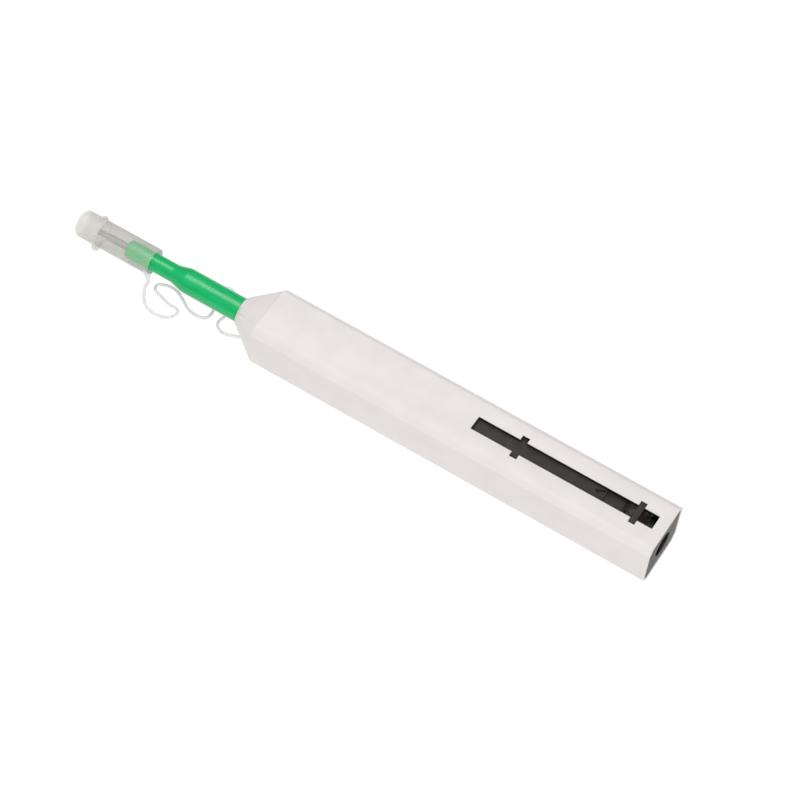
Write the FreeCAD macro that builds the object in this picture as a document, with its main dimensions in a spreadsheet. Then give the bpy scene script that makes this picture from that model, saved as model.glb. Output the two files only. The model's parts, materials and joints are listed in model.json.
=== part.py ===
import FreeCAD
import Part

import math
import os

import Sketcher
from FreeCAD import Placement, Rotation, Vector

# A one-click cleaning pen for 2.5 mm fibre connectors, lying on its flat base.
# +X runs from the cleaning tip to the rear end plate, +Z is up through the slotted face
# and -Y is the near side. The origin is below the middle of the pen, on its base.
# Distances named "ahead" are counted from the rear face towards the tip.

SIZES = {
    # housing: a bevelled box that narrows to a round nose
    "body_width": 20.0,
    "body_height": 18.0,
    "edge_bevel": 2.35,
    "wall": 1.2,
    "box_length": 135.4,
    "nose_length": 9.2,
    "nose_tip_radius": 4.55,
    "nose_land": 1.2,
    "rear_lip": 0.6,
    # slot in the upper face, with two cross notches
    "slot_rear": 3.75,
    "slot_length": 60.6,
    "slot_width": 4.87,
    "notch_width": 8.24,
    "front_notch_ahead": 48.0,
    "front_notch_length": 2.35,
    "rear_notch_ahead": 8.72,
    "rear_notch_length": 2.06,
    # end plate
    "plate_thickness": 3.0,
    "plate_inset": 0.25,
    "plate_gap": 0.05,
    "plate_bore_radius": 4.0,
    # return spring and its seats
    "spring_radius": 5.0,
    "spring_wire": 0.8,
    "spring_length": 30.0,
    "spring_seat_depth": 1.0,
    "spring_cup_length": 3.0,
    "spring_cup_wall": 1.0,
    "spring_turns": 10,
    "spigot_length": 4.0,
    # drive rack, hung under the slot and locked by its tail in the rear notch
    "rack_top_gap": 0.2,
    "rack_thickness": 1.7,
    "rack_width": 6.4,
    "rack_nose": 4.0,
    "rib_width": 3.0,
    "rib_ahead": 29.0,
    "tooth_module": 0.6,
    "gear_teeth": 17,
    "rack_teeth": 12,
    "teeth_ahead_of_gear": 7,
    "tooth_slope": 0.42,
    "tooth_play": 0.16,
    "tail_drop": 0.35,
    "tail_gap": 0.12,
    "tail_boss_length": 4.3,
    "step_ahead": 20.7,
    "step_depth": 0.7,
    "dart_length": 3.2,
    "dart_lean": 0.8,
    "dart_depth": 1.05,
    "dart_rim": 0.35,
    "boss_slope": 0.7,
    "shoulder_width": 1.05,
    "cross_overlap": 0.3,
    "key_radius": 0.6,
    # carriage that carries the nozzle, the reels and the cleaning tip
    "carriage_gap": 0.3,
    "carriage_wall": 1.3,
    "carriage_nose_gap": 2.75,
    "side_height": 12.0,
    "rib_thickness": 1.5,
    "stroke": 8.0,
    # reels and gear on their axles
    "take_up_ahead": 45.0,
    "reel_spacing": 14.0,
    "axle_radius": 1.0,
    "axle_length": 16.6,
    "running_gap": 0.05,
    "flange_radius": 5.2,
    "flange_thickness": 0.7,
    "reel_width": 5.0,
    "drum_radius": 2.3,
    "hub_wall": 0.9,
    "gear_width": 2.6,
    "side_play": 0.3,
    "ratchet_teeth": 16,
    "ratchet_depth": 0.6,
    "ratchet_width": 1.1,
    "used_thread_radius": 3.3,
    "new_thread_radius": 4.8,
    # turning shaft: the barrel's helix follows the key of the rack
    "reel_to_barrel": 14.8,
    "barrel_length": 18.0,
    "barrel_radius": 3.6,
    "journal_radius": 2.4,
    "groove_depth": 1.1,
    "groove_width": 2.0,
    "groove_start": 4.2,
    # nozzle
    "nozzle_radius": 3.9,
    "nozzle_play": 0.1,
    "nozzle_out": 40.9,
    "nozzle_front_length": 16.8,
    "nozzle_taper_length": 4.0,
    "nozzle_front_radius": 2.85,
    "nozzle_bore": 3.1,
    "nozzle_front_bore": 2.05,
    "collar_radius": 6.0,
    "collar_length": 4.6,
    "neck_radius": 4.6,
    "rear_flange_radius": 5.4,
    "rear_flange_length": 1.6,
    # cleaning tip
    "tip_out": 12.0,
    "tip_tube_radius": 1.1,
    "tip_tube_bore": 0.7,
    "tip_head_radius": 0.9,
    "tip_head_length": 4.6,
    "tip_head_round": 0.18,
    "tip_stem_length": 2.8,
    "tip_stroke": 1.5,
    "tip_collar_radius": 2.6,
    "tip_collar_length": 2.0,
    "tip_spring_length": 9.1,
    "tip_spring_radius": 2.5,
    "tip_spring_wire": 0.5,
    "tip_spring_turns": 7,
    "guide_length": 7.5,
    "guide_neck_radius": 2.5,
    "guide_flange_radius": 3.3,
    "press_gap": 0.02,
    "pawl_gap": 0.12,
    "pawl_thickness": 0.5,
    "pawl_rise": 0.3,
    "pawl_angle": 38.0,
    "guide_eye_radius": 0.35,
    "guide_eye_spacing": 0.9,
    "thread_radius": 0.15,
    # cap and lid
    "cap_overlap": 9.3,
    "cap_length": 18.7,
    "cap_radius": 4.35,
    "cap_wall": 0.75,
    "cap_grip_length": 1.4,
    "cap_grip_gap": 0.05,
    "cap_front_wall": 2.4,
    "port_radius": 1.45,
    "port_flare": 0.43,
    "port_flare_length": 0.8,
    "port_spigot_length": 3.6,
    "port_spigot_radius": 3.35,
    "lid_length": 8.5,
    "lid_gap": 0.1,
    "lid_wall": 0.9,
    "lid_round": 1.3,
    "lid_flange_radius": 6.0,
    "lid_flange_length": 1.0,
    "lid_flange_place": 1.35,
    "lid_flange_tilt": 9.7,
    "lid_roll": 30.0,
    "lid_plug_radius": 2.2,
    "lid_plug_bore": 1.5,
    "lid_plug_length": 2.6,
    "tab_angle": -45.0,
    "tab_root": 1.3,
    "tab_lean": 0.6,
    "tab_end_width": 1.1,
    "tab_thickness": 1.1,
    "tab_reach": 6.4,
    # leash
    "leash_radius": 0.5,
    "leash_hole_gap": 0.15,
    "knot_height": 1.3,
    "knot_radius": 0.7,
}

doc = FreeCAD.newDocument("fibre_cleaning_pen")
sheet = doc.addObject("Spreadsheet::Sheet", "sizes")
for row, (name, number) in enumerate(SIZES.items(), 1):
    sheet.set("A%d" % row, name)
    sheet.set("B%d" % row, str(number))
    sheet.setAlias("B%d" % row, name)
doc.recompute()


class Size:
    """A size that keeps its value beside the sheet expression it comes from."""

    def __init__(self, value, text):
        self.value = float(value)
        self.text = text

    def __add__(self, other):
        other = as_size(other)
        return Size(self.value + other.value, "(%s + %s)" % (self.text, other.text))

    def __sub__(self, other):
        other = as_size(other)
        return Size(self.value - other.value, "(%s - %s)" % (self.text, other.text))

    def __mul__(self, other):
        other = as_size(other)
        return Size(self.value * other.value, "(%s * %s)" % (self.text, other.text))

    def __truediv__(self, other):
        other = as_size(other)
        return Size(self.value / other.value, "(%s / %s)" % (self.text, other.text))

    def __radd__(self, other):
        return as_size(other) + self

    def __rsub__(self, other):
        return as_size(other) - self

    def __rmul__(self, other):
        return as_size(other) * self

    def __neg__(self):
        return Size(-self.value, "(-1 * %s)" % self.text)


def as_size(number):
    """A plain number as a Size; a Size as it is."""
    if isinstance(number, Size):
        return number
    return Size(number, repr(float(number)))


def dim(name):
    """The named size from the sheet."""
    return Size(sheet.get(name), "sizes.%s" % name)


def bind(target, path, size):
    """Ties one property of an object to a size."""
    target.setExpression(path, as_size(size).text)


# ---- places along the pen, counted from the rear face ----------------------------------

overall = (dim("box_length") + dim("nose_length") + dim("nozzle_out") - dim("cap_overlap")
           + dim("cap_length") + dim("lid_length"))
rear_x = overall / 2
axis_z = dim("body_height") / 2
half_width = dim("body_width") / 2
nose_ahead = dim("box_length") + dim("nose_length")
nozzle_tip_ahead = nose_ahead + dim("nozzle_out")
cap_ahead = nozzle_tip_ahead - dim("cap_overlap")
lid_ahead = cap_ahead + dim("cap_length")
roof_z = dim("body_height") - dim("wall")
ledge_ahead = dim("plate_inset") + dim("plate_thickness")
carriage_rear = ledge_ahead - dim("spring_seat_depth") + dim("spring_length")
carriage_front = dim("box_length") - dim("carriage_nose_gap")
supply_ahead = dim("take_up_ahead") + dim("reel_spacing")
barrel_ahead = supply_ahead + dim("reel_to_barrel")
barrel_front = barrel_ahead + dim("barrel_length")
tip_spring_ahead = barrel_front + dim("side_play") * 2 + dim("rib_thickness")
tip_collar_ahead = tip_spring_ahead + dim("tip_spring_length")
pitch_radius = dim("tooth_module") * dim("gear_teeth") / 2
pitch_z = axis_z + pitch_radius
tooth_pitch = math.pi * dim("tooth_module")
key_ahead = barrel_ahead + dim("groove_start")
tip_ahead = nozzle_tip_ahead + dim("tip_out")


# where the leash goes into the sloping underside of the nose
LEASH_HOLE_AHEAD = 140.35
LEASH_HOLE_ACROSS = -2.23

# the leash from the cap's tab to the nose, as chosen corners of its route
LEASH_ROUTE = [
    (-73.9, -4.53, 4.47),
    (-73.95, -5.7, 3.3),
    (-74.3, -7.2, 1.7),
    (-72.9, -8.9, 0.8),
    (-69.9, -10.8, 0.6),
    (-65.4, -11.0, 0.6),
    (-61.8, -8.6, 0.6),
    (-62.0, -5.4, 0.6),
    (-65.6, -5.7, 0.6),
    (-69.3, -4.4, 0.6),
    (-72.3, -3.7, 0.6),
    (-72.8, -1.4, 0.6),
    (-70.1, -0.1, 0.6),
    (-66.4, 0.1, 0.6),
    (-62.8, -2.0, 0.6),
    (-59.9, -4.0, 0.6),
    (-56.4, -4.5, 0.6),
    (-53.0, -3.5, 0.6),
    (-53.0, 1.5, 0.6),
    (-55.9, 5.5, 0.6),
    (-54.9, 10.3, 0.6),
    (-51.1, 10.5, 0.6),
    (-50.6, 5.0, 0.6),
    (-48.9, 0.6, 0.6),
    (-50.3, -3.2, 0.6),
    (-46.5, -5.2, 0.6),
    (-43.2, -4.3, 0.6),
    (-40.7, -3.15, 0.65),
    (-38.75, -2.3, 1.35),
    (-38.6, -2.2, 4.1),
]

# A cord's arc takes this share of the shorter run beside it, and its tube has flat sides.
ARC_SHARE = 0.45
CORD_SIDES = 6
CORD_VOLUME_SLACK = 0.02


# ---- building blocks -------------------------------------------------------------------

def new_body(label, ahead=0.0, across=0.0, height=0.0):
    """A body whose own origin lies on the rear face's base line, moved as given."""
    body = doc.addObject("PartDesign::Body", label)
    body.Label = label
    bind(body, "Placement.Base.x", rear_x - ahead)
    bind(body, "Placement.Base.y", as_size(across))
    bind(body, "Placement.Base.z", as_size(height))
    return body


def roll(body, angle):
    """Turns a body about the pen's axis."""
    bind(body, "Placement.Rotation.Axis.x", 1.0)
    bind(body, "Placement.Rotation.Axis.z", 0.0)
    bind(body, "Placement.Rotation.Angle", angle)


def origin_feature(body, role):
    """An origin plane or axis of the body, by its role."""
    return next(part for part in body.Origin.OriginFeatures if part.Role == role)


def new_sketch(body, role, offset=None):
    """A sketch on one of the body's origin planes, moved along the plane's normal."""
    sketch = body.newObject("Sketcher::SketchObject", body.Label + "_sketch")
    sketch.AttachmentSupport = [(origin_feature(body, role), "")]
    sketch.MapMode = "FlatFace"
    if offset is not None:
        bind(sketch, "AttachmentOffset.Base.z", offset)
    return sketch


def fix_point(sketch, geometry, point, across, up):
    """Holds a point of a sketch at two sizes from the sketch's origin."""
    for kind, axis, size in (("DistanceX", -2, as_size(across)), ("DistanceY", -1, as_size(up))):
        if size.value == 0.0 and size.text == "0.0":
            sketch.addConstraint(Sketcher.Constraint("PointOnObject", geometry, point, axis))
            continue
        index = sketch.addConstraint(
            Sketcher.Constraint(kind, -1, 1, geometry, point, size.value))
        bind(sketch, "Constraints[%d]" % index, size)


def outline(sketch, corners):
    """A closed outline of straight lines through (across, up) corners."""
    first = sketch.GeometryCount
    corners = [(as_size(across), as_size(up)) for across, up in corners]
    count = len(corners)
    for index, (across, up) in enumerate(corners):
        next_across, next_up = corners[(index + 1) % count]
        start = Vector(across.value, up.value, 0)
        end = Vector(next_across.value, next_up.value, 0)
        sketch.addGeometry(Part.LineSegment(start, end), False)
    for index, (across, up) in enumerate(corners):
        following = first + (index + 1) % count
        sketch.addConstraint(Sketcher.Constraint("Coincident", first + index, 2, following, 1))
        fix_point(sketch, first + index, 1, across, up)


def box_outline(sketch, left, right, low, high):
    """A rectangle between four sizes."""
    outline(sketch, [(left, low), (right, low), (right, high), (left, high)])


def circle(sketch, across, up, radius):
    """A circle of a named radius."""
    across, up, radius = as_size(across), as_size(up), as_size(radius)
    shape = Part.Circle(Vector(across.value, up.value, 0), Vector(0, 0, 1), radius.value)
    geometry = sketch.addGeometry(shape, False)
    fix_point(sketch, geometry, 3, across, up)
    index = sketch.addConstraint(Sketcher.Constraint("Radius", geometry, radius.value))
    bind(sketch, "Constraints[%d]" % index, radius)


def add_feature(body, kind, sketch, **settings):
    """A sketch-based feature; sizes among its settings are bound to the sheet."""
    feature = body.newObject("PartDesign::" + kind, "%s_%s" % (body.Label, kind.lower()))
    feature.Profile = sketch
    for name, value in settings.items():
        if isinstance(value, Size):
            bind(feature, name, value)
        else:
            setattr(feature, name, value)
    sketch.Visibility = False
    return feature


def pad(body, sketch, length, both_ways=False):
    """Raises a sketch along its plane's normal."""
    return add_feature(body, "Pad", sketch, Length=length,
                       SideType="Symmetric" if both_ways else "One side")


def cut(body, sketch, length, both_ways=False, forward=False):
    """Cuts a sketch into the body, against its plane's normal unless forward is set."""
    return add_feature(body, "Pocket", sketch, Length=length, Reversed=forward,
                       SideType="Symmetric" if both_ways else "One side")


def turn(body, corners, axis="H_Axis"):
    """Turns an outline in the body's XY plane about its X axis, or its Y axis for V_Axis."""
    sketch = new_sketch(body, "XY_Plane")
    outline(sketch, corners)
    return add_feature(body, "Revolution", sketch, ReferenceAxis=(sketch, [axis]), Angle=360.0)


def tube_profile(rear, front, inner, outer):
    """Corners of a plain tube's half section; rear and front are counted ahead."""
    return [(-front, inner), (-rear, inner), (-rear, outer), (-front, outer)]


def bevelled_section(half_across, half_up, bevel, middle):
    """The eight corners of a bevelled box section, from the lower edge round to the left."""
    low, high = middle - half_up, middle + half_up
    return [
        (-(half_across - bevel), low),
        (half_across - bevel, low),
        (half_across, low + bevel),
        (half_across, high - bevel),
        (half_across - bevel, high),
        (-(half_across - bevel), high),
        (-half_across, high - bevel),
        (-half_across, low + bevel),
    ]


def ring_arcs(sketch, middle, radius, corners):
    """A circle cut into one arc for each side of the section that it is lofted from."""
    angles = [math.atan2(up.value - middle.value, across.value) for across, up in corners]
    whole = Part.Circle(Vector(0, middle.value, 0), Vector(0, 0, 1), radius.value)
    for index, angle in enumerate(angles):
        following = (index + 1) % len(angles)
        end = angles[following]
        end = end if end > angle else end + 2 * math.pi
        arc = sketch.addGeometry(Part.ArcOfCircle(whole, angle, end), False)
        fix_point(sketch, arc, 3, 0.0, middle)
        number = sketch.addConstraint(Sketcher.Constraint("Radius", arc, radius.value))
        bind(sketch, "Constraints[%d]" % number, radius)
        for point, corner in ((1, corners[index]), (2, corners[following])):
            across, up = corner
            place = across * (radius / section_reach(across, up, middle))
            number = sketch.addConstraint(
                Sketcher.Constraint("DistanceX", -1, 1, arc, point, place.value))
            bind(sketch, "Constraints[%d]" % number, place)


def section_reach(across, up, middle):
    """How far a corner of a section lies from the pen's axis."""
    rise = up - middle
    text = "sqrt(%s * %s + %s * %s)" % (across.text, across.text, rise.text, rise.text)
    return Size(math.hypot(across.value, rise.value), text)


def nose_loft(body, kind, rear, front, section, radius):
    """A ruled loft from the bevelled section to a round end."""
    start = new_sketch(body, "YZ_Plane", -rear)
    outline(start, section)
    end = new_sketch(body, "YZ_Plane", -front)
    ring_arcs(end, axis_z, radius, section)
    feature = add_feature(body, kind, start, Ruled=True)
    feature.Sections = [end]
    end.Visibility = False
    return feature


def solid_part(label, shape, ahead=0.0, height=0.0):
    """A computed solid on the pen, placed from the same values as its neighbours."""
    part = doc.addObject("Part::Feature", label)
    part.Label = label
    part.Shape = shape
    place = Vector((rear_x - ahead).value, 0, as_size(height).value)
    part.Placement = Placement(place, Rotation())
    return part


# ---- housing and what is fixed to it -----------------------------------------------------

def make_housing():
    """One moulded shell: bevelled box, ruled nose, slot, notches and the plate's rebate."""
    body = new_body("housing")
    outer = bevelled_section(half_width, axis_z, dim("edge_bevel"), axis_z)
    inner_bevel = dim("edge_bevel") - dim("wall") * (2 - math.sqrt(2))
    inner = bevelled_section(half_width - dim("wall"), axis_z - dim("wall"), inner_bevel, axis_z)
    sketch = new_sketch(body, "YZ_Plane", -dim("box_length"))
    outline(sketch, outer)
    pad(body, sketch, dim("box_length"))
    nose_loft(body, "AdditiveLoft", dim("box_length"), nose_ahead, outer, dim("nose_tip_radius"))
    cavity = new_sketch(body, "YZ_Plane")
    outline(cavity, inner)
    cavity_length = dim("box_length") - dim("wall") / 2
    cut(body, cavity, cavity_length)
    bore = dim("nozzle_radius") + dim("nozzle_play")
    nose_loft(body, "SubtractiveLoft", cavity_length, nose_ahead - dim("nose_land"), inner, bore)
    hole = new_sketch(body, "YZ_Plane", -(nose_ahead - dim("nose_land") * 2))
    circle(hole, 0.0, axis_z, bore)
    cut(body, hole, dim("nose_land") * 3)
    rebate_bevel = dim("edge_bevel") - dim("rear_lip") * (2 - math.sqrt(2))
    rebate = new_sketch(body, "YZ_Plane")
    outline(rebate, bevelled_section(half_width - dim("rear_lip"), axis_z - dim("rear_lip"),
                                     rebate_bevel, axis_z))
    cut(body, rebate, ledge_ahead)
    slots = new_sketch(body, "XY_Plane", dim("body_height"))
    slot_front = dim("slot_rear") + dim("slot_length")
    half_slot = dim("slot_width") / 2
    half_notch = dim("notch_width") / 2
    front_notch_front = dim("front_notch_ahead") + dim("front_notch_length")
    rear_notch_front = dim("rear_notch_ahead") + dim("rear_notch_length")
    near = [
        (-slot_front, -half_slot),
        (-front_notch_front, -half_slot),
        (-front_notch_front, -half_notch),
        (-dim("front_notch_ahead"), -half_notch),
        (-dim("front_notch_ahead"), -half_slot),
        (-rear_notch_front, -half_slot),
        (-rear_notch_front, -half_notch),
        (-dim("rear_notch_ahead"), -half_notch),
        (-dim("rear_notch_ahead"), -half_slot),
        (-dim("slot_rear"), -half_slot),
    ]
    far = [(along, -across) for along, across in reversed(near)]
    outline(slots, near + far)
    cut(body, slots, dim("wall") * 2)
    leash_hole = new_sketch(body, "XY_Plane")
    circle(leash_hole, -LEASH_HOLE_AHEAD, LEASH_HOLE_ACROSS,
           dim("leash_radius") + dim("leash_hole_gap"))
    cut(body, leash_hole, axis_z / 2, forward=True)
    return body


def make_end_plate():
    """The black plate in the rear rebate, bored through, with a seat for the spring."""
    body = new_body("end_plate", ahead=dim("plate_inset"))
    edge = dim("rear_lip") + dim("plate_gap")
    bevel = dim("edge_bevel") - edge * (2 - math.sqrt(2)) + dim("plate_gap") * 4
    sketch = new_sketch(body, "YZ_Plane", -dim("plate_thickness"))
    outline(sketch, bevelled_section(half_width - edge, axis_z - edge, bevel, axis_z))
    pad(body, sketch, dim("plate_thickness"))
    bore = new_sketch(body, "YZ_Plane")
    circle(bore, 0.0, axis_z, dim("plate_bore_radius"))
    cut(body, bore, dim("plate_thickness") * 2)
    cup_front = dim("plate_thickness") + dim("spring_cup_length")
    cup = new_sketch(body, "YZ_Plane", -cup_front)
    circle(cup, 0.0, axis_z, dim("spring_radius") + dim("carriage_gap") + dim("spring_cup_wall"))
    circle(cup, 0.0, axis_z, dim("spring_radius") + dim("carriage_gap"))
    pad(body, cup, dim("spring_cup_length"))
    seat = new_sketch(body, "YZ_Plane", -dim("plate_thickness"))
    circle(seat, 0.0, axis_z, dim("spring_radius") + dim("carriage_gap"))
    cut(body, seat, dim("spring_seat_depth"), forward=True)
    return body


def make_drive_rack():
    """The bar under the slot: tail and boss at the rear, teeth below, key at the front."""
    body = new_body("drive_rack")
    top = roof_z - dim("rack_top_gap")
    low = top - dim("rack_thickness")
    front = key_ahead + dim("rack_nose")
    half_bar = dim("rack_width") / 2
    half_slot = dim("slot_width") / 2 - dim("tail_gap")
    rear = dim("rear_notch_ahead") + dim("tail_gap")
    side = new_sketch(body, "XZ_Plane")
    step = top - dim("step_depth")
    boss_front = rear + dim("tail_boss_length")
    outline(side, [
        (-front, low),
        (-rear, low),
        (-rear, top),
        (-boss_front, top),
        (-boss_front, step),
        (-dim("step_ahead"), step),
        (-dim("step_ahead"), top),
        (-front, top),
    ])
    pad(body, side, half_bar * 2, both_ways=True)
    tail_top = dim("body_height") - dim("tail_drop")
    boss = new_sketch(body, "XZ_Plane")
    tail_front = rear + dim("rear_notch_length") - dim("tail_gap") * 2
    ledge = (top + tail_top) / 2
    outline(boss, [
        (-rear, top),
        (-rear, tail_top),
        (-tail_front, tail_top),
        (-(tail_front + dim("boss_slope")), ledge),
        (-(boss_front - dim("boss_slope") / 2), ledge),
        (-boss_front, top),
    ])
    pad(body, boss, half_slot * 2, both_ways=True)
    for side in (-1, 1):
        shoulder = new_sketch(body, "YZ_Plane", -boss_front)
        outline(shoulder, [
            (half_slot * side, ledge - dim("boss_slope")),
            (half_slot * (2 * side), ledge - dim("boss_slope")),
            (half_slot * (2 * side), tail_top + dim("boss_slope")),
            ((half_slot - dim("shoulder_width")) * side, tail_top + dim("boss_slope")),
        ])
        cut(body, shoulder, boss_front - tail_front, forward=True)
    arms = new_sketch(body, "XY_Plane", top)
    half_notch = dim("notch_width") / 2 - dim("tail_gap")
    box_outline(arms, -tail_front, -rear, -half_notch, half_notch)
    pad(body, arms, tail_top - top)
    cross = new_sketch(body, "XY_Plane", low)
    cross_rear = dim("front_notch_ahead") - dim("cross_overlap")
    cross_front = cross_rear + dim("front_notch_length") + dim("cross_overlap") * 2
    half_cross = dim("notch_width") / 2 + dim("cross_overlap")
    box_outline(cross, -cross_front, -cross_rear, -half_cross, half_cross)
    pad(body, cross, dim("rack_thickness"))
    dart = new_sketch(body, "XY_Plane", top)
    dart_rear = dim("step_ahead") + dim("dart_rim")
    outline(dart, [
        (-(dart_rear + dim("dart_length")), dim("dart_lean")),
        (-dart_rear, -half_slot),
        (-dart_rear, half_slot),
    ])
    cut(body, dart, dim("dart_depth"))
    rib_low = pitch_z - dim("tooth_module")
    rib_length = tooth_pitch * dim("rack_teeth")
    rib = new_sketch(body, "XY_Plane", rib_low)
    half_rib = dim("rib_width") / 2
    box_outline(rib, -dim("rib_ahead") - rib_length, -dim("rib_ahead"), -half_rib, half_rib)
    pad(body, rib, low - rib_low)
    gap = new_sketch(body, "XZ_Plane")
    first = -dim("take_up_ahead") + tooth_pitch * dim("teeth_ahead_of_gear") + tooth_pitch / 2
    outline(gap, [(first + across, pitch_z + up) for across, up in tooth_gap(mouth=-1)])
    pocket = cut(body, gap, dim("rib_width") * 2, both_ways=True)
    row = body.newObject("PartDesign::LinearPattern", "drive_rack_teeth")
    row.Originals = [pocket]
    row.Direction = (origin_feature(body, "X_Axis"), [""])
    row.Reversed = True
    bind(row, "Length", tooth_pitch * (dim("rack_teeth") - 1))
    bind(row, "Occurrences", dim("rack_teeth"))
    body.Tip = row
    key = new_sketch(body, "XY_Plane", low)
    circle(key, -key_ahead, 0.0, dim("key_radius"))
    reach = low - (axis_z + dim("barrel_radius") - dim("groove_depth") + dim("side_play"))
    add_feature(body, "Pad", key, Length=reach, Reversed=True)
    return body


def tooth_gap(mouth):
    """Corners of the space between two teeth about the pitch line; mouth is 1 up, -1 down."""
    module = dim("tooth_module")
    half_gap = module * (math.pi / 4) + dim("tooth_play") / 2
    open_half = half_gap + module * dim("tooth_slope")
    root_half = half_gap - module * dim("tooth_slope")
    open_up = module * (1.1 * mouth)
    root_up = module * (-1.25 * mouth)
    return [
        (-open_half, open_up),
        (open_half, open_up),
        (half_gap, as_size(0.0)),
        (root_half, root_up),
        (-root_half, root_up),
        (-half_gap, as_size(0.0)),
    ]


# ---- carriage: two half shells that clamp the nozzle and hold the axles -----------------

def make_carriage_half(label, side):
    """One half shell, with side -1 near and 1 far: floor, side wall, ribs and bearings."""
    body = new_body(label)
    outer = half_width - dim("wall") - dim("carriage_gap")
    inner = outer - dim("carriage_wall")
    floor_low = dim("wall") + dim("carriage_gap")
    floor_top = floor_low + dim("carriage_wall")
    side_low = axis_z - dim("side_height") / 2
    side_high = axis_z + dim("side_height") / 2
    shell = new_sketch(body, "YZ_Plane", -carriage_front)
    outline(shell, [
        (0.0, floor_low),
        ((outer - (side_low - floor_low)) * side, floor_low),
        (outer * side, side_low),
        (outer * side, side_high),
        (inner * side, side_high),
        (inner * side, floor_top),
        (0.0, floor_top),
    ])
    pad(body, shell, carriage_front - carriage_rear)
    thickness = dim("rib_thickness")
    rib_top = pitch_z - dim("tooth_module") - dim("carriage_gap")
    collar_front = tip_collar_ahead + dim("tip_collar_length") + dim("carriage_gap")
    ribs = [
        (carriage_rear, dim("guide_neck_radius")),
        (barrel_ahead - dim("side_play") - thickness, dim("journal_radius")),
        (barrel_front + dim("side_play"), dim("journal_radius")),
        (collar_front, dim("tip_tube_radius")),
        (carriage_front - thickness, dim("neck_radius")),
    ]
    for rear, bore in ribs:
        rib = new_sketch(body, "YZ_Plane", -(rear + thickness))
        box_outline(rib, 0.0, (inner + dim("carriage_wall") / 2) * side,
                    floor_low + dim("carriage_wall") / 2, rib_top)
        pad(body, rib, thickness)
        hole = new_sketch(body, "YZ_Plane", -(rear + thickness))
        circle(hole, 0.0, axis_z, bore + dim("running_gap"))
        cut(body, hole, thickness, forward=True)
    for ahead in (dim("take_up_ahead"), supply_ahead):
        hole = new_sketch(body, "XZ_Plane", outer * -side)
        circle(hole, -ahead, axis_z, dim("axle_radius") + dim("press_gap"))
        cut(body, hole, dim("carriage_wall") * 4, both_ways=True)
    return body


def make_spring_guide():
    """A turned peg in the rear rib that centres the return spring."""
    body = new_body("spring_guide", ahead=carriage_rear, height=axis_z)
    peg = dim("spring_radius") - dim("spring_wire") - dim("carriage_gap")
    neck = dim("guide_neck_radius")
    front = dim("rib_thickness")
    flange = front + dim("flange_thickness")
    turn(body, [
        (dim("spigot_length"), 0.0),
        (dim("spigot_length"), peg),
        (0.0, peg),
        (0.0, neck),
        (-front, neck),
        (-front, dim("guide_flange_radius")),
        (-flange, dim("guide_flange_radius")),
        (-flange, 0.0),
    ])
    return body


def make_nozzle():
    """The green sleeve: clamped neck, stop collar, long barrel, taper and front barrel."""
    body = new_body("nozzle", height=axis_z)
    neck_rear = carriage_front - dim("rib_thickness") - dim("running_gap")
    flange_rear = neck_rear - dim("rear_flange_length")
    neck_front = carriage_front + dim("running_gap")
    collar_front = neck_front + dim("collar_length")
    taper_front = nozzle_tip_ahead - dim("nozzle_front_length")
    taper_rear = taper_front - dim("nozzle_taper_length")
    turn(body, [
        (-flange_rear, dim("nozzle_bore")),
        (-flange_rear, dim("rear_flange_radius")),
        (-neck_rear, dim("rear_flange_radius")),
        (-neck_rear, dim("neck_radius")),
        (-neck_front, dim("neck_radius")),
        (-neck_front, dim("collar_radius")),
        (-collar_front, dim("collar_radius")),
        (-collar_front, dim("nozzle_radius")),
        (-taper_rear, dim("nozzle_radius")),
        (-taper_front, dim("nozzle_front_radius")),
        (-nozzle_tip_ahead, dim("nozzle_front_radius")),
        (-nozzle_tip_ahead, dim("nozzle_front_bore")),
        (-taper_front, dim("nozzle_front_bore")),
        (-taper_rear, dim("nozzle_bore")),
    ])
    return body


def make_tip_guide():
    """The bush in the nozzle's end that steadies the tip."""
    front = nozzle_tip_ahead - dim("tip_stroke")
    body = new_body("tip_guide", height=axis_z)
    turn(body, tube_profile(front - dim("guide_length"), front,
                            dim("tip_tube_radius") + dim("running_gap"),
                            dim("nozzle_front_bore") - dim("press_gap")))
    return body


def make_axle(label, ahead):
    """A plain steel pin across the carriage."""
    body = new_body(label, ahead=ahead, height=axis_z)
    half = dim("axle_length") / 2
    turn(body, [(0.0, -half), (dim("axle_radius"), -half), (dim("axle_radius"), half),
                (0.0, half)], "V_Axis")
    return body


def make_drive_gear():
    """The gear under the rack's teeth, with a raised boss on each side."""
    body = new_body("drive_gear", ahead=dim("take_up_ahead"), height=axis_z)
    half = dim("gear_width") / 2
    bore = dim("axle_radius") + dim("running_gap")
    rim = pitch_radius + dim("tooth_module")
    turn(body, [(bore, -half), (rim, -half), (rim, half), (bore, half)], "V_Axis")
    gap = new_sketch(body, "XZ_Plane")
    outline(gap, [(across, pitch_radius + up) for across, up in tooth_gap(mouth=1)])
    pocket = cut(body, gap, dim("gear_width") * 2, both_ways=True)
    ring_pattern(body, pocket, dim("gear_teeth"))
    return body


def ring_pattern(body, feature, count):
    """Repeats a feature evenly round the body's Y axis."""
    pattern = body.newObject("PartDesign::PolarPattern", body.Label + "_teeth")
    pattern.Originals = [feature]
    pattern.Axis = (origin_feature(body, "Y_Axis"), [""])
    pattern.Angle = 360.0
    bind(pattern, "Occurrences", count)
    body.Tip = pattern
    return pattern


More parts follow.
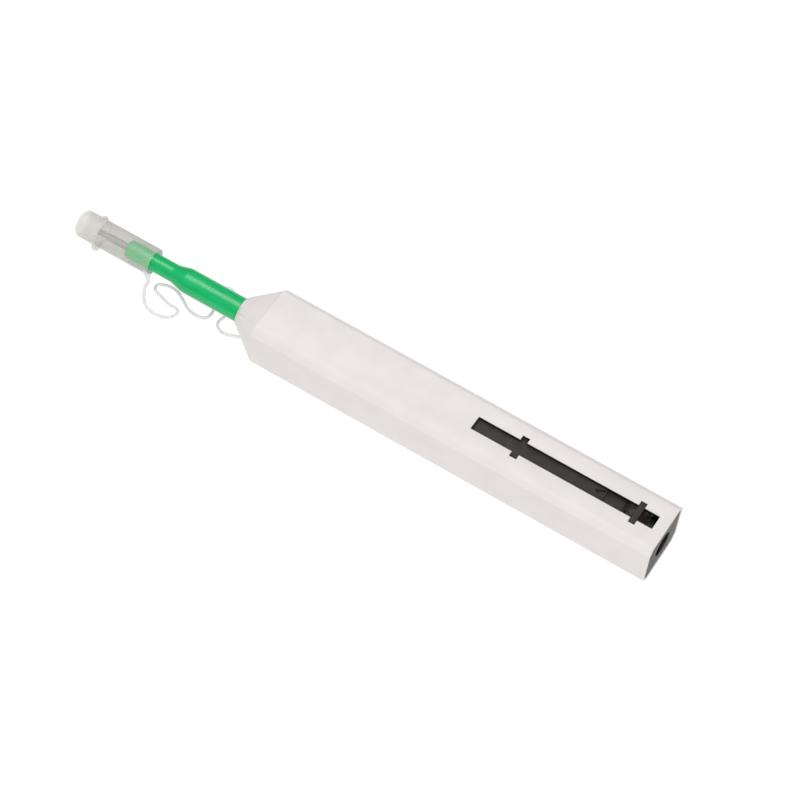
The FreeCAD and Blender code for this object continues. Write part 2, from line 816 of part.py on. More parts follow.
def reel_corners(side, ratchet):
    """Half section of a reel on one side of the pen, from the middle outwards."""
    start = dim("gear_width") / 2 + dim("side_play")
    first = start + (dim("ratchet_width") if ratchet else dim("flange_thickness"))
    last = start + dim("reel_width")
    bore = dim("axle_radius") + dim("running_gap")
    rim = dim("flange_radius")
    return [
        (bore, start * side),
        (rim, start * side),
        (rim, first * side),
        (dim("drum_radius"), first * side),
        (dim("drum_radius"), (last - dim("flange_thickness")) * side),
        (rim, (last - dim("flange_thickness")) * side),
        (rim, last * side),
        (bore, last * side),
    ]


def make_take_up_reel():
    """The reel that winds the used thread, with ratchet teeth round its inner flange."""
    body = new_body("take_up_reel", ahead=dim("take_up_ahead"), height=axis_z)
    turn(body, reel_corners(1, True), "V_Axis")
    notch = new_sketch(body, "XZ_Plane", -dim("gear_width") / 2 - dim("side_play"))
    rim = dim("flange_radius")
    depth = dim("ratchet_depth")
    back = rim * math.tau / dim("ratchet_teeth")
    outline(notch, [(0.0, rim - depth), (0.0, rim + depth), (back, rim + depth), (back, rim)])
    pocket = cut(body, notch, dim("ratchet_width"))
    ring_pattern(body, pocket, dim("ratchet_teeth"))
    return body


def make_supply_reel():
    """The reel that the new thread comes from."""
    body = new_body("supply_reel", ahead=supply_ahead, height=axis_z)
    turn(body, reel_corners(-1, False), "V_Axis")
    return body


def make_thread_roll(label, ahead, side, ratchet, radius):
    """The wound thread on a reel, as one ring."""
    body = new_body(label, ahead=ahead, height=axis_z)
    start = dim("gear_width") / 2 + dim("side_play")
    first = start + (dim("ratchet_width") if ratchet else dim("flange_thickness"))
    last = start + dim("reel_width") - dim("flange_thickness")
    gap = dim("press_gap")
    turn(body, [
        (dim("drum_radius") + gap, (first + gap) * side),
        (radius, (first + gap) * side),
        (radius, (last - gap) * side),
        (dim("drum_radius") + gap, (last - gap) * side),
    ], "V_Axis")
    return body


def make_holding_pawl():
    """A sprung arm from the rear rib whose end rides on the ratchet's teeth."""
    body = new_body("holding_pawl")
    start = dim("gear_width") / 2 + dim("side_play") + dim("press_gap")
    foot_front = carriage_rear + dim("rib_thickness")
    angle = math.radians(dim("pawl_angle").value)
    reach = dim("flange_radius") + dim("pawl_gap")
    tip_x = -dim("take_up_ahead") + reach * math.cos(angle)
    tip_z = axis_z + reach * math.sin(angle)
    arm = dim("pawl_thickness")
    sketch = new_sketch(body, "XZ_Plane", -(start + dim("ratchet_width") - dim("press_gap") * 2))
    foot_z = tip_z + dim("pawl_rise")
    root_x = -foot_front - arm * 2
    outline(sketch, [
        (tip_x, tip_z),
        (root_x, foot_z - arm / 2),
        (root_x, foot_z - arm),
        (-foot_front, foot_z - arm),
        (-foot_front, foot_z + arm),
        (root_x, foot_z + arm),
        (root_x, foot_z + arm / 2),
        (tip_x, tip_z + arm),
    ])
    pad(body, sketch, dim("ratchet_width") - dim("press_gap") * 2)
    return body


def make_thread_guide():
    """A comb on the barrel's rear rib that leads both strands to the shaft's bore."""
    body = new_body("thread_guide")
    front = barrel_ahead - dim("side_play") - dim("rib_thickness")
    height = dim("guide_eye_radius") * 6
    width = dim("guide_eye_spacing") + dim("guide_eye_radius") * 6
    sketch = new_sketch(body, "YZ_Plane", -front)
    box_outline(sketch, -width / 2, width / 2, axis_z - height / 2, axis_z + height / 2)
    pad(body, sketch, dim("rib_thickness"))
    for side in (-1, 1):
        eye = new_sketch(body, "YZ_Plane", -front)
        circle(eye, dim("guide_eye_spacing") / 2 * side, axis_z, dim("guide_eye_radius"))
        cut(body, eye, dim("rib_thickness"), forward=True)
    return body


# ---- turning shaft and sprung tip -------------------------------------------------------

def make_cam_barrel():
    """The barrel whose helical groove turns the tip half a turn in one stroke."""
    body = new_body("cam_barrel", ahead=key_ahead, height=axis_z)
    margin = dim("groove_width") / 2
    lead = dim("stroke") * 2
    roll(body, 360.0 * margin / lead)
    rear = -dim("groove_start")
    front = rear + dim("barrel_length")
    journal = dim("rib_thickness") + dim("side_play") / 2
    bore = dim("tip_tube_radius") + dim("running_gap")
    turn(body, [
        (-(rear - journal), bore),
        (-(rear - journal), dim("journal_radius")),
        (-rear, dim("journal_radius")),
        (-rear, dim("barrel_radius")),
        (-front, dim("barrel_radius")),
        (-front, dim("journal_radius")),
        (-(front + journal), dim("journal_radius")),
        (-(front + journal), bore),
    ])
    section = new_sketch(body, "XZ_Plane")
    box_outline(section, 0.0, margin * 2, dim("barrel_radius") - dim("groove_depth"),
                dim("barrel_radius") + dim("groove_depth"))
    helix = body.newObject("PartDesign::SubtractiveHelix", "cam_barrel_groove")
    helix.Profile = section
    helix.ReferenceAxis = (section, ["H_Axis"])
    helix.Mode = "pitch-height-angle"
    bind(helix, "Pitch", lead)
    bind(helix, "Height", dim("stroke") + margin * 2)
    helix.Reversed = True
    section.Visibility = False
    return body


def make_tip_tube():
    """The steel tube that runs from the barrel to the cleaning tip."""
    body = new_body("tip_tube", height=axis_z)
    turn(body, tube_profile(barrel_ahead, tip_ahead - dim("tip_head_length"),
                            dim("tip_tube_bore"), dim("tip_tube_radius")))
    return body


def make_tip_collar():
    """The stop ring on the tube, in front of the tip's spring."""
    body = new_body("tip_collar", height=axis_z)
    rear = tip_collar_ahead
    turn(body, tube_profile(rear, rear + dim("tip_collar_length"),
                            dim("tip_tube_radius") + dim("press_gap"),
                            dim("tip_collar_radius")))
    return body


def make_cleaning_tip():
    """The soft head that presses the thread on the fibre's end."""
    body = new_body("cleaning_tip", ahead=tip_ahead, height=axis_z)
    length = dim("tip_head_length")
    stem = dim("tip_tube_bore") - dim("press_gap") * 2
    turn(body, [
        (0.0, 0.0),
        (0.0, dim("tip_head_radius") - dim("tip_head_round")),
        (dim("tip_head_round"), dim("tip_head_radius")),
        (length, dim("tip_head_radius")),
        (length, stem),
        (length + dim("tip_stem_length"), stem),
        (length + dim("tip_stem_length"), 0.0),
    ])
    return body


def coil_spring(radius, wire, length, turns):
    """A compression spring along X from its front end, with six-sided wire."""
    steps = 12
    rise = (length - wire) / turns
    mean = radius - wire / 2
    path = Part.makePolygon([
        Vector(wire / 2 + rise * step / steps,
               mean * math.cos(2 * math.pi * step / steps),
               mean * math.sin(2 * math.pi * step / steps))
        for step in range(steps * turns + 1)
    ])
    section = Part.makePolygon([
        Vector(wire / 2 + wire / 2 * math.sin(math.pi * corner / 3),
               mean + wire / 2 * math.cos(math.pi * corner / 3), 0)
        for corner in (0, 1, 2, 3, 4, 5, 0)
    ])
    return Part.Wire(path.Edges).makePipeShell([section], True, False, 1)


def make_return_spring():
    """The copper-coloured spring that pushes the carriage forward."""
    shape = coil_spring(dim("spring_radius").value, dim("spring_wire").value,
                        dim("spring_length").value, int(dim("spring_turns").value))
    return solid_part("return_spring", shape, ahead=carriage_rear, height=axis_z)


def make_tip_spring():
    """The small spring behind the tip's collar."""
    front = tip_collar_ahead
    rear = tip_spring_ahead
    shape = coil_spring(dim("tip_spring_radius").value, dim("tip_spring_wire").value,
                        (front - rear).value, int(dim("tip_spring_turns").value))
    return solid_part("tip_spring", shape, ahead=front, height=axis_z)


# ---- cap and lid --------------------------------------------------------------------------

def make_cap():
    """The frosted cap: grip, chamber, front port and the tongue that the leash is tied to."""
    body = new_body("cap", ahead=cap_ahead, height=axis_z)
    roll(body, dim("tab_angle"))
    grip = dim("nozzle_front_radius") + dim("cap_grip_gap")
    front = dim("cap_length")
    chamber_front = front - dim("cap_front_wall")
    spigot = front + dim("port_spigot_length")
    turn(body, [
        (0.0, grip),
        (0.0, dim("cap_radius")),
        (-front, dim("cap_radius")),
        (-front, dim("port_spigot_radius")),
        (-spigot, dim("port_spigot_radius")),
        (-spigot, dim("port_radius") + dim("port_flare")),
        (-(spigot - dim("port_flare_length")), dim("port_radius")),
        (-chamber_front, dim("port_radius")),
        (-chamber_front, dim("cap_radius") - dim("cap_wall")),
        (-dim("cap_grip_length"), dim("cap_radius") - dim("cap_wall")),
        (-dim("cap_grip_length"), grip),
    ])
    tab = new_sketch(body, "XZ_Plane")
    root = -(dim("cap_radius") - dim("cap_wall") / 2)
    middle = dim("tab_lean")
    outline(tab, [
        (-dim("tab_root"), root),
        (0.0, root),
        (middle + dim("tab_end_width") / 2, -dim("tab_reach")),
        (middle - dim("tab_end_width") / 2, -dim("tab_reach")),
    ])
    pad(body, tab, dim("tab_thickness"), both_ways=True)
    return body


def make_cap_lid():
    """The lid over the port: flange to pull, rounded end and an inner plug sleeve."""
    body = new_body("cap_lid", ahead=lid_ahead, height=axis_z)
    roll(body, dim("lid_roll"))
    front = dim("lid_length")
    inner = dim("port_spigot_radius") + dim("lid_gap")
    corner = dim("lid_round")
    outer = inner + dim("lid_wall")
    end = front - dim("lid_wall")
    turn(body, [
        (0.0, inner),
        (0.0, outer),
        (-(front - corner), outer),
        (-(front - corner * 0.3), outer - corner * 0.3),
        (-front, outer - corner),
        (-front, 0.0),
        (-end, 0.0),
        (-end, dim("lid_plug_bore")),
        (-(end - dim("lid_plug_length")), dim("lid_plug_bore")),
        (-(end - dim("lid_plug_length")), dim("lid_plug_radius")),
        (-end, dim("lid_plug_radius")),
        (-end, inner),
    ])
    flange = new_sketch(body, "YZ_Plane", -dim("lid_flange_place"))
    flange.AttachmentOffset.Rotation.Axis = Vector(0, 1, 0)
    bind(flange, "AttachmentOffset.Rotation.Axis.y", 1.0)
    bind(flange, "AttachmentOffset.Rotation.Axis.z", 0.0)
    bind(flange, "AttachmentOffset.Rotation.Angle", dim("lid_flange_tilt"))
    circle(flange, 0.0, 0.0, dim("lid_flange_radius"))
    pad(body, flange, dim("lid_flange_length"), both_ways=True)
    mouth = new_sketch(body, "YZ_Plane")
    circle(mouth, 0.0, 0.0, inner)
    cut(body, mouth, (end - dim("lid_plug_length")) * 2, both_ways=True)
    return body


# ---- threads and leash ---------------------------------------------------------------------

def cord_arcs(points, report=""):
    """The tangent arc at each inner point, as large as the runs beside it allow."""
    arcs = []
    for before, corner, after in zip(points, points[1:], points[2:]):
        back = (before - corner).normalize()
        on = (after - corner).normalize()
        shorter = min((before - corner).Length, (after - corner).Length)
        turn_angle = math.pi - back.getAngle(on)
        reach = ARC_SHARE * shorter
        radius = reach / math.tan(turn_angle / 2)
        if report:
            print("%s radius %.2f" % (report, radius))
        centre = corner + (back + on).normalize() * (radius / math.cos(turn_angle / 2))
        arcs.append((corner + back * reach, centre, on.cross(back).normalize(), turn_angle))
    return arcs


def cord_solid(points, radius, report=""):
    """A tube with flat sides along a route, with its volume checked against its length."""
    points = [Vector(*point) for point in points]
    start = points[0]
    upright = Rotation(Vector(0, 0, 1), points[1] - start)
    corners = []
    for step in range(CORD_SIDES + 1):
        angle = math.tau * step / CORD_SIDES
        spoke = Vector(math.cos(angle), math.sin(angle), 0) * radius
        corners.append(start + upright.multVec(spoke))
    ring = Part.makePolygon(corners)
    area = Part.Face(ring).Area
    faces = [Part.Face(ring)]
    length = 0.0
    for enter, centre, axis, turn_angle in cord_arcs(points, report):
        run = enter - start
        faces += [edge.extrude(run) for edge in ring.Edges]
        ring.translate(run)
        degrees = math.degrees(turn_angle)
        faces += [edge.revolve(centre, axis, degrees) for edge in ring.Edges]
        ring.rotate(centre, axis, degrees)
        start = centre + Rotation(axis, degrees).multVec(enter - centre)
        length += run.Length + (enter - centre).Length * turn_angle
    run = points[-1] - start
    faces += [edge.extrude(run) for edge in ring.Edges]
    ring.translate(run)
    faces.append(Part.Face(ring))
    length += run.Length
    skin = Part.makeCompound(faces)
    skin.sewShape()
    tube = Part.makeSolid(skin.Shells[0])
    if abs(abs(tube.Volume) - area * length) > CORD_VOLUME_SLACK * area * length:
        raise ValueError("a cord's tube has the wrong volume")
    if report:
        print("%s length %.1f" % (report, length))
    return tube


def make_strand(label, ahead, side, roll_radius, drum_middle):
    """One strand from a roll, over it (side -1) or under it, through its eye to the shaft."""
    guide_front = (barrel_ahead - dim("side_play") - dim("rib_thickness")).value
    guide_rear = guide_front - dim("rib_thickness").value
    eye = dim("guide_eye_spacing").value / 2 * side
    lay = (roll_radius + dim("thread_radius") + dim("press_gap")).value
    lift = math.acos(lay / (guide_rear - ahead.value))
    route = [
        (-ahead.value - lay * math.cos(lift), drum_middle.value * side,
         -side * lay * math.sin(lift)),
        (-guide_rear, eye, 0.0),
        (-guide_front, eye, 0.0),
    ]
    return solid_part(label, cord_solid(route, dim("thread_radius").value), height=axis_z)


def make_leash():
    """The thin white leash that keeps the cap on the pen."""
    part = doc.addObject("Part::Feature", "leash")
    part.Label = "leash"
    part.Shape = cord_solid(LEASH_ROUTE, dim("leash_radius").value, "leash")
    return part


def make_leash_knot():
    """The stop that holds the leash's end inside the nose."""
    body = doc.addObject("Part::Cylinder", "leash_knot")
    body.Label = "leash_knot"
    bind(body, "Radius", dim("knot_radius"))
    bind(body, "Height", dim("knot_height"))
    bind(body, "Placement.Base.x", LEASH_ROUTE[-1][0])
    bind(body, "Placement.Base.y", LEASH_ROUTE[-1][1])
    bind(body, "Placement.Base.z", LEASH_ROUTE[-1][2] + dim("press_gap") * 2)
    return body


def build():
    """Makes every sub-part of the pen."""
    take_up_first = dim("gear_width") / 2 + dim("side_play") + dim("ratchet_width")
    supply_first = dim("gear_width") / 2 + dim("side_play") + dim("flange_thickness")
    reel_last = (dim("gear_width") / 2 + dim("side_play") + dim("reel_width")
                 - dim("flange_thickness"))
    return [
        make_housing(),
        make_end_plate(),
        make_drive_rack(),
        make_return_spring(),
        make_carriage_half("carriage_near_half", -1),
        make_carriage_half("carriage_far_half", 1),
        make_spring_guide(),
        make_nozzle(),
        make_tip_guide(),
        make_axle("take_up_axle", dim("take_up_ahead")),
        make_axle("supply_axle", supply_ahead),
        make_drive_gear(),
        make_take_up_reel(),
        make_thread_roll("used_thread_roll", dim("take_up_ahead"), 1, True,
                         dim("used_thread_radius")),
        make_supply_reel(),
        make_thread_roll("new_thread_roll", supply_ahead, -1, False,
                         dim("new_thread_radius")),
        make_holding_pawl(),
        make_thread_guide(),
        make_strand("used_strand", dim("take_up_ahead"), 1, dim("used_thread_radius"),
                    (take_up_first + reel_last) / 2),
        make_strand("new_strand", supply_ahead, -1, dim("new_thread_radius"),
                    (supply_first + reel_last) / 2),
        make_cam_barrel(),
        make_tip_tube(),
        make_tip_collar(),
        make_tip_spring(),
        make_cleaning_tip(),
        make_cap(),
        make_cap_lid(),
        make_leash(),
        make_leash_knot(),
    ]


def export(parts):
    """Checks every object and sub-part, then writes one STEP file for each sub-part."""
    doc.recompute()
    for item in doc.Objects:
        if "Invalid" in item.State or "Error" in item.State:
            raise ValueError("%s is %s" % (item.Label, item.State))
    for part in parts:
        if part.Shape.isNull() or not part.Shape.isValid() or not part.Shape.Solids:
            raise ValueError("%s has no valid solid" % part.Label)
    os.makedirs("parts", exist_ok=True)
    for part in parts:
        part.Shape.exportStep("parts/%s.step" % part.Label)


export(build())
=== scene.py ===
import json
import math

import bmesh
import bpy
from mathutils import Matrix, Vector


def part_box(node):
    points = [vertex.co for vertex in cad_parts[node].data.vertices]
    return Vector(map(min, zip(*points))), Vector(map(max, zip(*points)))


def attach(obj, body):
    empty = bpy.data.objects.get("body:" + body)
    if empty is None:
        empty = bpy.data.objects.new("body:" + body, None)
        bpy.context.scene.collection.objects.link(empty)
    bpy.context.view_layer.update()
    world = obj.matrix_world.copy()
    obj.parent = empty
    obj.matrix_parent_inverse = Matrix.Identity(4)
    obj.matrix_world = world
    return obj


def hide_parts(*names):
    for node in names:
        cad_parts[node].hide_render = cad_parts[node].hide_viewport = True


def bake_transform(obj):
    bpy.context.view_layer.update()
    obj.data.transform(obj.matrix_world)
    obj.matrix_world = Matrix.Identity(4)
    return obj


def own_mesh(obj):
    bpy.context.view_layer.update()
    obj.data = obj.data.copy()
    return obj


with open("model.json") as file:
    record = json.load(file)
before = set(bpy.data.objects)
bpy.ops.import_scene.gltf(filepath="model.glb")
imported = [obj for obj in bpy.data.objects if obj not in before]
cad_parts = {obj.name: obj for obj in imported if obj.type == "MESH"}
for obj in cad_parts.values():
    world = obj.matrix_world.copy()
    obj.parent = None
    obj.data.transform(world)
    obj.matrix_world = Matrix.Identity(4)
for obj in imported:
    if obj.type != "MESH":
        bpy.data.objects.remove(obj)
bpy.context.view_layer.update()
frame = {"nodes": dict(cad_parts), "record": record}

MM = 0.001
AXIS_Z = 9.0 * MM                       # the pen's long axis lies this high above its base
PLATE_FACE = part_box("end_plate")[1].x   # the rear plate's outer face
SHELL_LOW, SHELL_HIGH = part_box("housing")
WELD = 0.0005 * MM                      # corners closer than this are joined
SLOT_OF = {entry["node"]: entry["material_slot"] for entry in frame["record"]["subparts"]}


# ---- finishes: a small wrapper round shader sockets --------------------------------------

class Value:
    """A shader number that takes part in plain arithmetic."""

    def __init__(self, finish, socket):
        self.finish = finish
        self.socket = socket

    def maths(self, operation, first, second):
        """The result of an operation on two numbers."""
        return self.finish.node("ShaderNodeMath", {"operation": operation},
                                {0: first, 1: second})

    def __add__(self, other):
        return self.maths("ADD", self, other)

    __radd__ = __add__

    def __sub__(self, other):
        return self.maths("SUBTRACT", self, other)

    def __rsub__(self, other):
        return self.maths("SUBTRACT", other, self)

    def __mul__(self, other):
        return self.maths("MULTIPLY", self, other)

    __rmul__ = __mul__

    def __pow__(self, other):
        return self.maths("POWER", self, other)

    def ramp(self, low, high):
        """0 at low and 1 at high, smooth between and level beyond them."""
        return self.finish.node(
            "ShaderNodeMapRange", {"interpolation_type": "SMOOTHSTEP"},
            {"Value": self, "From Min": low, "From Max": high, "To Min": 0.0, "To Max": 1.0})


class Finish:
    """One material, with a Principled shader that expressions are plugged into."""

    def __init__(self, name):
        self.material = bpy.data.materials.new(name)
        self.material.use_nodes = True
        self.tree = self.material.node_tree
        self.shader = next(n for n in self.tree.nodes if n.type == "BSDF_PRINCIPLED")

    def node(self, kind, settings=None, sockets=None, output=0):
        """A new node with its settings and sockets filled in, given as one of its outputs."""
        made = self.tree.nodes.new(kind)
        for name, setting in (settings or {}).items():
            setattr(made, name, setting)
        for name, value in (sockets or {}).items():
            self.plug(made.inputs[name], value)
        return Value(self, made.outputs[output])

    def plug(self, socket, value):
        """A socket gets a link to a Value, or a plain colour or number of its own."""
        if isinstance(value, Value):
            self.tree.links.new(value.socket, socket)
        elif socket.type == "RGBA":
            socket.default_value = (*value, 1.0)
        else:
            socket.default_value = value

    def place(self, scale=(1.0, 1.0, 1.0)):
        """Object coordinates, stretched for a pattern."""
        here = self.node("ShaderNodeTexCoord", output="Object")
        return self.node("ShaderNodeMapping", None, {"Vector": here, "Scale": scale})

    def axes(self):
        """The object coordinates in metres as three numbers: x, y and z."""
        here = self.node("ShaderNodeTexCoord", output="Object")
        return [self.node("ShaderNodeSeparateXYZ", None, {0: here}, output=axis)
                for axis in range(3)]

    def noise(self, size, detail=3.0, scale=(1.0, 1.0, 1.0)):
        """Noise with features about as large as size, in metres."""
        return self.node("ShaderNodeTexNoise", {"noise_dimensions": "3D"},
                         {"Vector": self.place(scale), "Scale": 1.0 / size, "Detail": detail,
                          "Roughness": 0.55})

    def cells(self, size):
        """Distance to the nearest of many random points, size metres apart."""
        return self.node("ShaderNodeTexVoronoi", {"feature": "F1"},
                         {"Vector": self.place(), "Scale": 1.0 / size})

    def blend(self, mask, first, second):
        """The first colour where mask is 0, the second where it is 1."""
        return self.node("ShaderNodeMix", {"data_type": "RGBA"},
                         {0: mask, 6: first, 7: second}, output=2)

    def tones(self, pattern, first, second, low=0.3, high=0.7):
        """A colour that follows a pattern from one screen colour to another."""
        return self.blend(pattern.ramp(low, high), linear(*first), linear(*second))

    def bump(self, height, depth, strength=1.0):
        """A Bump whose height runs over depth metres."""
        return self.node("ShaderNodeBump", None,
                         {"Height": height, "Distance": depth, "Strength": strength})

    def set(self, **sockets):
        """The finished material, with the shader's inputs given by their plain names."""
        for name, value in sockets.items():
            socket = self.shader.inputs[name.replace("_", " ").title().replace("Ior", "IOR")]
            self.plug(socket, value)
        return self.material


def linear(red, green, blue):
    """A linear colour from the usual 0 to 255 screen values."""
    def one(value):
        share = value / 255.0
        return share / 12.92 if share <= 0.04045 else ((share + 0.055) / 1.055) ** 2.4
    return one(red), one(green), one(blue)


def white_shell():
    """Glossy white moulding, with painted shade on the thin walls of the slot below its face."""
    finish = Finish("white_shell")
    mottle = finish.noise(9.0 * MM, detail=2.0)
    fine = finish.noise(0.35 * MM, detail=2.0)
    speck = finish.cells(2.6 * MM).ramp(0.09, 0.05)
    base = finish.tones(mottle, (236, 230, 228), (240, 234, 232))
    base = finish.blend(speck * 0.12, base, linear(196, 190, 186))
    # painted shade: the slot's walls below the face are painted near black where the deep gap
    # lies in shade
    slot_front = SHELL_HIGH.x - 66.0 * MM
    slot_rear = SHELL_HIGH.x - 2.0 * MM
    notch_end = 4.6 * MM
    wall_top = SHELL_HIGH.z - 0.2 * MM
    wall_foot = SHELL_HIGH.z - 2.4 * MM
    fade = 0.5 * MM
    x, y, z = finish.axes()
    lengthways = x.ramp(slot_front, slot_front + fade) * x.ramp(slot_rear, slot_rear - fade)
    crossways = (y ** 2).ramp(notch_end ** 2, (notch_end - 0.2 * MM) ** 2)
    downwards = z.ramp(wall_top, wall_top - 0.25 * MM) * z.ramp(wall_foot, wall_foot + fade)
    base = finish.blend(lengthways * crossways * downwards, base, linear(30, 27, 26))
    return finish.set(
        base_color=base,
        roughness=0.36 + 0.12 * mottle,
        normal=finish.bump(fine, 0.02 * MM, 0.35),
        specular_ior_level=0.4)


def black_moulding(name, dark, light):
    """Fine matt moulding, rubbed a little lighter in patches."""
    finish = Finish(name)
    grain = finish.noise(0.25 * MM)
    rubbed = finish.noise(3.5 * MM)
    return finish.set(
        base_color=finish.tones(rubbed, dark, light, low=0.35, high=0.75),
        roughness=0.42 + 0.16 * rubbed,
        normal=finish.bump(grain, 0.03 * MM, 0.5),
        specular_ior_level=0.4)


def plate_moulding():
    """Grey moulding on the plate's outer face, with painted shade, near black, in its bore and
    inside the pen.
    """
    finish = Finish("plate_moulding")
    grain = finish.noise(0.3 * MM)
    cloud = finish.noise(4.0 * MM, detail=2.0)
    bore = 4.0 * MM
    x, y, z = finish.axes()
    # painted shade: the bore and the faces inside the pen are painted near black; outside and
    # beyond_bore mark the outer face that keeps the grey
    outside = x.ramp(PLATE_FACE - 0.3 * MM, PLATE_FACE - 0.12 * MM)
    beyond_bore = (y ** 2 + (z - AXIS_Z) ** 2).ramp((bore + 0.05 * MM) ** 2,
                                                    (bore + 0.2 * MM) ** 2)
    grey = finish.tones(cloud, (48, 42, 38), (58, 52, 46))
    return finish.set(
        base_color=finish.blend(outside * beyond_bore, linear(20, 17, 15), grey),
        roughness=0.4 + 0.15 * cloud,
        normal=finish.bump(grain, 0.03 * MM, 0.5),
        specular_ior_level=0.35)


def green_sleeve():
    """Smooth green moulding with faint streaks along the sleeve."""
    finish = Finish("green_sleeve")
    streak = finish.noise(2.4 * MM, scale=(0.25, 1.0, 1.0))
    fine = finish.noise(0.3 * MM, detail=2.0)
    return finish.set(
        base_color=finish.tones(streak, (5, 182, 99), (10, 191, 111), low=0.35),
        roughness=0.2 + 0.06 * streak,
        normal=finish.bump(fine, 0.0002 * MM, 0.1),
        specular_ior_level=0.4)


def frosted(name, light, dark, outer, clear, milky, core):
    """Plastic whose haze lies in its outer skin, from the radius outer on. Over its lit side the
    skin is painted lighter and clearer, under it painted shade makes it darker and milky. Its
    core has a haze of its own."""
    finish = Finish(name)
    cloud = finish.noise(4.0 * MM, detail=2.0)
    fine = finish.noise(0.2 * MM, detail=2.0)
    _, across, height = finish.axes()
    above = height - AXIS_Z
    haze = (across ** 2 + above ** 2).ramp((outer - 0.2 * MM) ** 2, outer ** 2)
    # painted light and shade: lit is 1 on the side that faces the lamps and 0 under it; the
    # colour is painted lighter and the skin clearer where it is 1, darker and more opaque where
    # it is 0
    light_from_above = 0.87
    light_from_near_side = 0.5
    lit = (light_from_above * above - light_from_near_side * across).ramp(
        -0.4 * outer, 0.2 * outer)
    skin = milky - lit * (milky - clear)
    return finish.set(
        base_color=finish.blend(lit, linear(*dark), linear(*light)),
        roughness=0.38 + 0.1 * cloud,
        alpha=core + haze * (skin - core + 0.04 * cloud),
        normal=finish.bump(fine, 0.01 * MM, 0.2),
        specular_ior_level=0.3)


def clear_string():
    """Thin clear plastic cord; a faint painted glow in its own colour stands in for the light it
    passes on.
    """
    finish = Finish("clear_string")
    cloud = finish.noise(1.1 * MM, detail=2.0)
    base = finish.tones(cloud, (196, 192, 195), (212, 208, 211))
    # painted light: the cord's emission makes it glow faintly in its own colour
    return finish.set(
        base_color=base,
        roughness=0.3 + 0.12 * cloud,
        emission_color=base,
        emission_strength=0.38,
        normal=finish.bump(cloud, 0.02 * MM, 0.3))


def drawn_steel():
    """Drawn steel tube with streaks along its length."""
    finish = Finish("drawn_steel")
    streak = finish.noise(0.6 * MM, scale=(0.08, 1.0, 1.0))
    base = finish.tones(streak, (158, 157, 154), (178, 177, 174))
    return finish.set(base_color=base, metallic=0.7, roughness=0.5 + 0.16 * streak)


def copper_wire():
    """Copper-coloured spring wire."""
    finish = Finish("copper_wire")
    cloud = finish.noise(0.7 * MM)
    base = finish.tones(cloud, (150, 104, 84), (188, 150, 130))
    return finish.set(base_color=base, metallic=0.9, roughness=0.26 + 0.15 * cloud)


def inner_moulding():
    """Off-white moulding of the carriage and its guides."""
    finish = Finish("inner_moulding")
    cloud = finish.noise(2.5 * MM)
    fine = finish.noise(0.3 * MM, detail=2.0)
    base = finish.tones(cloud, (206, 204, 198), (220, 218, 212))
    return finish.set(base_color=base, roughness=0.42 + 0.14 * cloud,
                      normal=finish.bump(fine, 0.02 * MM, 0.4))


def gear_moulding():
    """Smooth cream moulding of the gear, the reels and the barrel."""
    finish = Finish("gear_moulding")
    cloud = finish.noise(1.5 * MM)
    base = finish.tones(cloud, (224, 219, 205), (236, 232, 220))
    return finish.set(base_color=base, roughness=0.32 + 0.15 * cloud)


def swab():
    """The cleaning tip: a grey stem with a white pad at its front."""
    finish = Finish("swab")
    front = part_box("cleaning_tip")[0].x
    lay = finish.noise(0.12 * MM)
    stem = finish.axes()[0].ramp(front + 0.5 * MM, front + 0.7 * MM)
    base = finish.blend(stem, linear(232, 231, 227), linear(168, 167, 163))
    return finish.set(base_color=base, roughness=0.55 + 0.15 * lay,
                      normal=finish.bump(lay, 0.03 * MM, 0.5))


def spun_thread():
    """White spun thread with its fibres wound one way."""
    finish = Finish("spun_thread")
    lay = finish.noise(0.12 * MM, scale=(1.0, 0.3, 1.0))
    base = finish.tones(lay, (214, 212, 206), (240, 239, 235))
    return finish.set(base_color=base, roughness=0.8, normal=finish.bump(lay, 0.05 * MM, 0.8))


FINISHES = {
    "shell_white": white_shell(),
    "black_plastic": black_moulding("black_moulding", (50, 45, 43), (61, 55, 53)),
    # painted highlight: a lighter copy of the black moulding for the boss pyramid's facets
    "boss_painted_highlight": black_moulding("boss_painted_highlight", (62, 57, 54), (74, 69, 66)),
    "boss_black": black_moulding("boss_black", (38, 34, 32), (47, 42, 40)),
    "end_plate": plate_moulding(),
    "green_plastic": green_sleeve(),
    "frosted_plastic": frosted("frosted_cap", (243, 239, 232), (196, 191, 184),
                               outer=4.1 * MM, clear=0.24, milky=0.72, core=0.0),
    "cap_lid": frosted("frosted_lid", (231, 226, 220), (212, 207, 201),
                       outer=4.1 * MM, clear=0.6, milky=0.7, core=0.15),
    "cap_flange": frosted("frosted_flange", (232, 227, 221), (214, 209, 203),
                          outer=4.5 * MM, clear=0.5, milky=0.5, core=0.0),
    "leash_plastic": clear_string(),
    "steel": drawn_steel(),
    "copper_wire": copper_wire(),
    "inner_plastic": inner_moulding(),
    "gear_plastic": gear_moulding(),
    "thread": spun_thread(),
    "cleaning_tip": swab(),
}


# ---- making pieces ----------------------------------------------------------------------

def body_of(node):
    """The name of the moving body that a solid belongs to."""
    groups = frame["record"]["behaviour"]["bodies"]
    return next(body for body, members in groups.items() if node in members)


def finished(mesh_source, name, node, finish=None, crease=40.0):
    """A piece made from a bmesh, smooth but for its creases, in place of a solid."""
    mesh = bpy.data.meshes.new(name)
    mesh_source.to_mesh(mesh)
    mesh_source.free()
    for face in mesh.polygons:
        face.use_smooth = True
    mesh.set_sharp_from_angle(angle=math.radians(crease))
    piece = bpy.data.objects.new(name, mesh)
    bpy.context.scene.collection.objects.link(piece)
    mesh.materials.append(finish or FINISHES[SLOT_OF[node]])
    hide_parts(node)
    return piece


def everything(shape):
    """All the corners, edges and faces of a bmesh."""
    return shape.verts[:] + shape.edges[:] + shape.faces[:]


